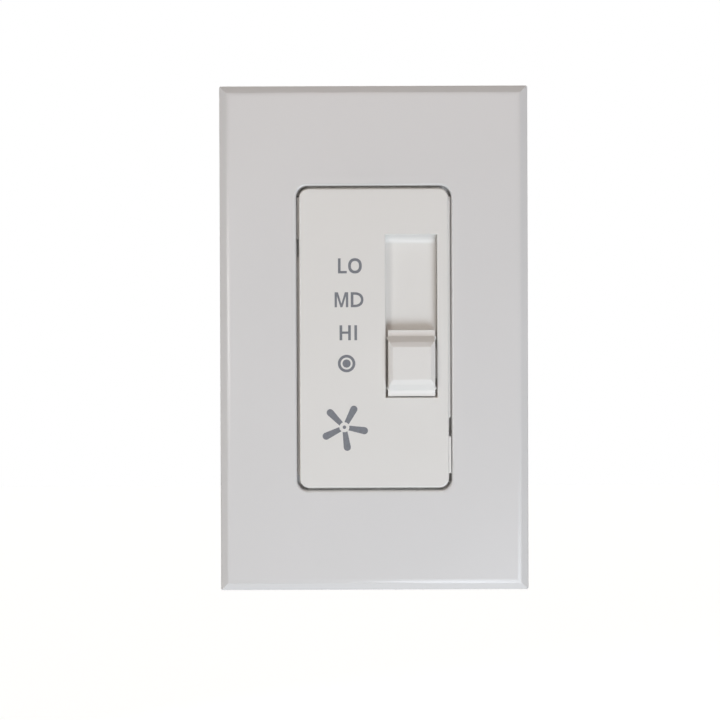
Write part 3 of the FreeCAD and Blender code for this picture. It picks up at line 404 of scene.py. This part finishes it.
# Wall box screws with their rolled thread, in millimetres. Places, head, waist, length and
# outer radius are those of the construction. The head is a list of (radius, y).
SCREW_PLACES = (41.67, -41.67)
SCREW_FRONT = -3.3
SCREW_END = 23.9
HEAD_RADIUS = 3.4
HEAD_BACK = -1.5
WAIST_RADIUS = 1.45
THREAD_FRONT = 0.45
THREAD_RADIUS = 1.75
THREAD_DEPTH = 0.45
THREAD_PITCH = 0.79
SCREW_HEAD = [
    (1.87, -3.084),
    (HEAD_RADIUS, -2.22),
    (HEAD_RADIUS, HEAD_BACK),
    (WAIST_RADIUS, HEAD_BACK),
    (WAIST_RADIUS, THREAD_FRONT),
]
STEPS_PER_PITCH = 10
SCREW_SIDES = 24
DRIVER_SLOT_REACH = 4.4
DRIVER_SLOT_WIDTH = 0.9
DRIVER_SLOT_DEPTH = 0.7
CUT_CLEARANCE = 1.0


def thread_radius(y, turn):
    """Radius of the threaded shank at a depth and a share of a turn."""
    tip = THREAD_RADIUS / 2
    limit = min(THREAD_RADIUS, tip + SCREW_END - y)
    fade = min(1.0, (y - THREAD_FRONT) / THREAD_PITCH, (limit - tip) / tip)
    groove = 0.5 - 0.5 * math.cos(FULL_TURN * (y / THREAD_PITCH - turn))
    return limit - THREAD_DEPTH * max(fade, 0.0) * groove


def add_threaded_screw(mesh, z):
    """Closed screw turned about the y direction at a height."""
    turns = [side / SCREW_SIDES for side in range(SCREW_SIDES)]
    rows = [[(radius, y) for _ in turns] for radius, y in SCREW_HEAD]
    steps = round((SCREW_END - THREAD_FRONT) / THREAD_PITCH * STEPS_PER_PITCH)
    for step in range(steps + 1):
        y = THREAD_FRONT + (SCREW_END - THREAD_FRONT) * step / steps
        rows.append([(thread_radius(y, turn), y) for turn in turns])
    rings = []
    for row in rows:
        ring = []
        for turn, (radius, y) in zip(turns, row):
            angle = FULL_TURN * turn
            x = radius * math.cos(angle)
            up = radius * math.sin(angle)
            ring.append(mesh.verts.new((x * MM, y * MM, (z + up) * MM)))
        rings.append(ring)
    front = mesh.verts.new((0.0, SCREW_FRONT * MM, z * MM))
    for side in range(SCREW_SIDES):
        following = (side + 1) % SCREW_SIDES
        mesh.faces.new((front, rings[0][side], rings[0][following]))
        for near, far in zip(rings, rings[1:]):
            mesh.faces.new((near[side], far[side], far[following], near[following]))
    mesh.faces.new(rings[-1])


def add_block(mesh, span_x, span_y, span_z):
    """Closed block between two places along each axis, in millimetres."""
    corners = [
        mesh.verts.new((x * MM, y * MM, z * MM)) for x in span_x for y in span_y for z in span_z
    ]
    ends = [(0, 1, 3, 2), (4, 6, 7, 5)]
    sides = [(0, 4, 5, 1), (2, 3, 7, 6), (0, 2, 6, 4), (1, 5, 7, 3)]
    for face in ends + sides:
        mesh.faces.new([corners[corner] for corner in face])


def from_bmesh(name, fill):
    """Object in the scene whose closed mesh a function fills."""
    build = bmesh.new()
    fill(build)
    bmesh.ops.recalc_face_normals(build, faces=build.faces)
    mesh = bpy.data.meshes.new(name)
    build.to_mesh(mesh)
    build.free()
    return add_to_scene(name, mesh)


def settled_mesh(piece):
    """The mesh that an object shows, with its modifiers or curves worked out."""
    bpy.context.view_layer.update()
    shown = piece.evaluated_get(bpy.context.evaluated_depsgraph_get())
    return bpy.data.meshes.new_from_object(shown)


def make_box_screws():
    """Both wall box screws with thread and driver slot, in place of the plain ones."""

    def fill_screws(mesh):
        for z in SCREW_PLACES:
            add_threaded_screw(mesh, z)

    def fill_slots(mesh):
        across = (-DRIVER_SLOT_REACH, DRIVER_SLOT_REACH)
        depths = (SCREW_FRONT - CUT_CLEARANCE, SCREW_FRONT + DRIVER_SLOT_DEPTH)
        for z in SCREW_PLACES:
            heights = (z - DRIVER_SLOT_WIDTH / 2, z + DRIVER_SLOT_WIDTH / 2)
            add_block(mesh, across, depths, heights)

    screws = from_bmesh("box_screws_threaded", fill_screws)
    cutter = from_bmesh("driver_slots", fill_slots)
    cut = screws.modifiers.new("slots", "BOOLEAN")
    cut.operation = "DIFFERENCE"
    cut.solver = "EXACT"
    cut.object = cutter
    finished = settled_mesh(screws)
    screws.modifiers.clear()
    screws.data = finished
    bpy.data.objects.remove(cutter)
    finished.materials.clear()
    finished.materials.append(finishes["screw_steel"])
    smooth(screws, SCENE_ANGLE)
    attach(screws, "housing")
    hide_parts("box_screws")


# Ribs moulded round the insert, which narrow the gap or give it a floor as the picture
# shows, in millimetres: span across, span up and setback from the insert's face. Each
# starts 0.05 inside the insert's side or end, and none comes nearer the opening than 0.05.
SIDE_ROOT = 16.775
SIDE_REACH = 17.425
END_ROOT = 33.675
END_REACH = 34.325
END_SPAN = (-15.0, 15.0)
RIB_DEPTH = 0.6
RIB_EDGE = 0.05
INSERT_RIBS = [
    ((SIDE_ROOT, 17.075), (-18.0, 30.9), 0.45),
    ((SIDE_ROOT, SIDE_REACH), (-18.0, 32.0), 1.70),
    ((SIDE_ROOT, 17.345), (-30.5, -22.2), 0.45),
    ((-SIDE_REACH, -SIDE_ROOT), (22.5, 32.0), 2.50),
    ((-SIDE_REACH, -SIDE_ROOT), (-31.1, 18.5), 2.50),
    (END_SPAN, (END_ROOT, END_REACH), 2.90),
    (END_SPAN, (-END_REACH, -END_ROOT), 2.90),
]


def make_insert_ribs():
    """The insert's ribs, with their edges rounded."""

    def fill_ribs(mesh):
        for across, up, setback in INSERT_RIBS:
            front = FACE_Y / MM + setback
            add_block(mesh, across, (front, front + RIB_DEPTH), up)

    ribs = from_bmesh("insert_ribs", fill_ribs)
    ribs.data.materials.append(finishes["insert_plastic"])
    rounding = ribs.modifiers.new("rounding", "BEVEL")
    rounding.width = RIB_EDGE * MM
    rounding.segments = 2
    smooth(ribs, SCENE_ANGLE)
    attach(ribs, "housing")


# Printed marks. Their places are pixels of the picture, carried to the insert's face,
# and their sizes are millimetres on that face. A letter is its width and its outlines.
INK_THICKNESS = 0.012 * MM
FACE_PIXELS_PER_MM = PIXELS_PER_MM * VIEW_DISTANCE / (VIEW_DISTANCE + FACE_Y)
CAP_HEIGHT = 3.38
STROKE = 0.60
ROUND_POINTS = 48
SQUARENESS = 2.25


def on_face(pixel):
    """Point of the insert's face, in millimetres, that a pixel shows."""
    right = (pixel[0] - PLATE_MIDDLE_PIXEL[0]) / FACE_PIXELS_PER_MM
    up = (PLATE_MIDDLE_PIXEL[1] - pixel[1]) / FACE_PIXELS_PER_MM
    turned_right = right * math.cos(ROLL) + up * math.sin(ROLL)
    turned_up = up * math.cos(ROLL) - right * math.sin(ROLL)
    return turned_right, turned_up


def bowl(width, height, inset, start=0.0, turn=FULL_TURN):
    """Superellipse arc about the middle of a box, drawn inset from its sides."""
    half_width = width / 2 - inset
    half_height = height / 2 - inset
    power = 2 / SQUARENESS
    count = ROUND_POINTS if turn == FULL_TURN else ROUND_POINTS + 1
    points = []
    for step in range(count):
        angle = start + turn * step / ROUND_POINTS
        x = math.copysign(abs(math.cos(angle)) ** power, math.cos(angle))
        z = math.copysign(abs(math.sin(angle)) ** power, math.sin(angle))
        points.append((width / 2 + half_width * x, height / 2 + half_height * z))
    return points


def mirrored(outline, width):
    """A line's points on a letter's other side, in the order that carries on from it."""
    return [(width - x, z) for x, z in reversed(outline)]


def letter_l():
    """Outline of L."""
    width = 1.98
    foot = STROKE * 0.9
    stem = [(STROKE, foot), (STROKE, CAP_HEIGHT), (0, CAP_HEIGHT)]
    return width, [[(0, 0), (width, 0), (width, foot)] + stem]


def letter_o():
    """Outlines of O, a little taller than the other letters."""
    width = 3.02
    overshoot = 0.03
    return width, [bowl(width, CAP_HEIGHT, -overshoot), bowl(width, CAP_HEIGHT, STROKE)]


def letter_m():
    """Outline of M."""
    width = 3.05
    middle = width / 2
    stem = STROKE * 0.88
    shoulder = STROKE * 1.25
    notch = STROKE * 1.35
    point = STROKE * 0.38
    fork = CAP_HEIGHT * 0.74
    left = [(0, 0), (0, CAP_HEIGHT), (shoulder, CAP_HEIGHT)]
    inner = [(stem, fork), (stem, 0)]
    valley = [(middle + point, 0), (middle - point, 0)]
    top = left + [(middle, notch)] + mirrored(left, width)
    return width, [top + mirrored(inner, width) + valley + inner]


def letter_d():
    """Outlines of D."""
    width = 2.84
    straight = 0.85
    arc_width = 2 * (width - straight)
    shift = width - arc_width
    outer_arc = bowl(arc_width, CAP_HEIGHT, 0.0, -math.pi / 2, math.pi)
    inner_arc = bowl(arc_width, CAP_HEIGHT, STROKE * 0.95, -math.pi / 2, math.pi)
    outer = [(0, 0)] + [(x + shift, z) for x, z in outer_arc] + [(0, CAP_HEIGHT)]
    inner = [(STROKE, inner_arc[0][1])]
    inner += [(x + shift, z) for x, z in inner_arc]
    inner += [(STROKE, inner_arc[-1][1])]
    return width, [outer, inner]


def letter_h():
    """Outline of H."""
    width = 2.54
    bar_low = CAP_HEIGHT / 2 - STROKE * 0.38
    bar_high = CAP_HEIGHT / 2 + STROKE * 0.48
    left = [(STROKE, 0), (0, 0), (0, CAP_HEIGHT), (STROKE, CAP_HEIGHT), (STROKE, bar_high)]
    bar = [(width - STROKE, bar_low), (STROKE, bar_low)]
    return width, [left + mirrored(left, width) + bar]


def letter_i():
    """Outline of I."""
    return STROKE, [[(0, 0), (STROKE, 0), (STROKE, CAP_HEIGHT), (0, CAP_HEIGHT)]]


def circle(radius, centre):
    """Round outline."""
    angles = [FULL_TURN * step / ROUND_POINTS for step in range(ROUND_POINTS)]
    return [(centre[0] + radius * math.cos(a), centre[1] + radius * math.sin(a)) for a in angles]


def printed(name, outlines, ink):
    """Thin raised print on the insert's face from outlines in millimetres."""
    curve = bpy.data.curves.new(name, "CURVE")
    curve.dimensions = "2D"
    curve.fill_mode = "BOTH"
    curve.extrude = INK_THICKNESS / 2
    for outline in outlines:
        spline = curve.splines.new("POLY")
        spline.points.add(len(outline) - 1)
        for point, (x, z) in zip(spline.points, outline):
            point.co = (x * MM, z * MM, 0.0, 1.0)
        spline.use_cyclic_u = True
    holder = add_to_scene(name + "_outline", curve)
    mesh = settled_mesh(holder)
    bpy.data.objects.remove(holder)
    upright = Matrix.Rotation(math.pi / 2, 4, "X")
    mesh.transform(Matrix.Translation((0, FACE_Y - INK_THICKNESS / 2, 0)) @ upright)
    mesh.materials.clear()
    mesh.materials.append(ink)
    mark = add_to_scene(name, mesh)
    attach(mark, "housing")


def word(name, letters, gap, pixel, ink):
    """Word centred on the place that a pixel shows."""
    made = [letter() for letter in letters]
    total = sum(width for width, _ in made) + gap * (len(made) - 1)
    middle_x, middle_z = on_face(pixel)
    x = middle_x - total / 2
    z = middle_z - CAP_HEIGHT / 2
    outlines = []
    for width, shapes in made:
        outlines += [[(x + px, z + pz) for px, pz in shape] for shape in shapes]
        x += width + gap
    printed(name, outlines, ink)


# The words with their letters, the gap between those and the middle's pixel, then the off
# mark's ring and dot and the fan's hub and paddles.
WORDS = [
    ("mark_lo", (letter_l, letter_o), 0.34, (349.8, 265.7)),
    ("mark_md", (letter_m, letter_d), 0.58, (349.0, 299.6)),
    ("mark_hi", (letter_h, letter_i), 0.80, (348.3, 332.6)),
]
OFF_PIXEL = (346.6, 363.4)
OFF_RADII = (1.97, 1.34, 0.92)
FAN_PIXEL = (344.4, 427.1)
FAN_HUB = 0.40
FAN_ROOT = 1.02
FAN_ROOT_HALF = 0.54
FAN_ROOT_DENT = 0.12
FAN_TIP = 5.38
FAN_TIP_HALF = 0.81
FAN_TURN = math.radians(62)
PADDLES = 5
TIP_POINTS = 12


def paddle(centre, angle):
    """Tapered blade with a round tip that starts clear of the hub."""
    tip_middle = FAN_TIP - FAN_TIP_HALF
    dent = (FAN_ROOT + FAN_ROOT_DENT, 0.0)
    outline = [(FAN_ROOT, FAN_ROOT_HALF), dent, (FAN_ROOT, -FAN_ROOT_HALF)]
    for step in range(TIP_POINTS + 1):
        sweep = -math.pi / 2 + math.pi * step / TIP_POINTS
        outline.append(
            (tip_middle + FAN_TIP_HALF * math.cos(sweep), FAN_TIP_HALF * math.sin(sweep))
        )
    cosine = math.cos(angle)
    sine = math.sin(angle)
    return [
        (centre[0] + x * cosine - z * sine, centre[1] + x * sine + z * cosine)
        for x, z in outline
    ]


def make_marks():
    """Speed words, the off mark and the fan pictogram."""
    ink = printing_ink("mark_ink", INK)
    for name, letters, gap, pixel in WORDS:
        word(name, letters, gap, pixel, ink)
    centre = on_face(OFF_PIXEL)
    printed("mark_off", [circle(radius, centre) for radius in OFF_RADII], ink)
    hub = on_face(FAN_PIXEL)
    blades = [paddle(hub, FAN_TURN + FULL_TURN * blade / PADDLES) for blade in range(PADDLES)]
    printed("mark_fan", blades + [circle(FAN_HUB, hub)], ink)


make_camera()
make_lights()
make_world()
make_floor()
dress_nodes()
make_box_screws()
make_insert_ribs()
make_marks()

view_settings = bpy.context.scene.view_settings
view_settings.view_transform = "Standard"
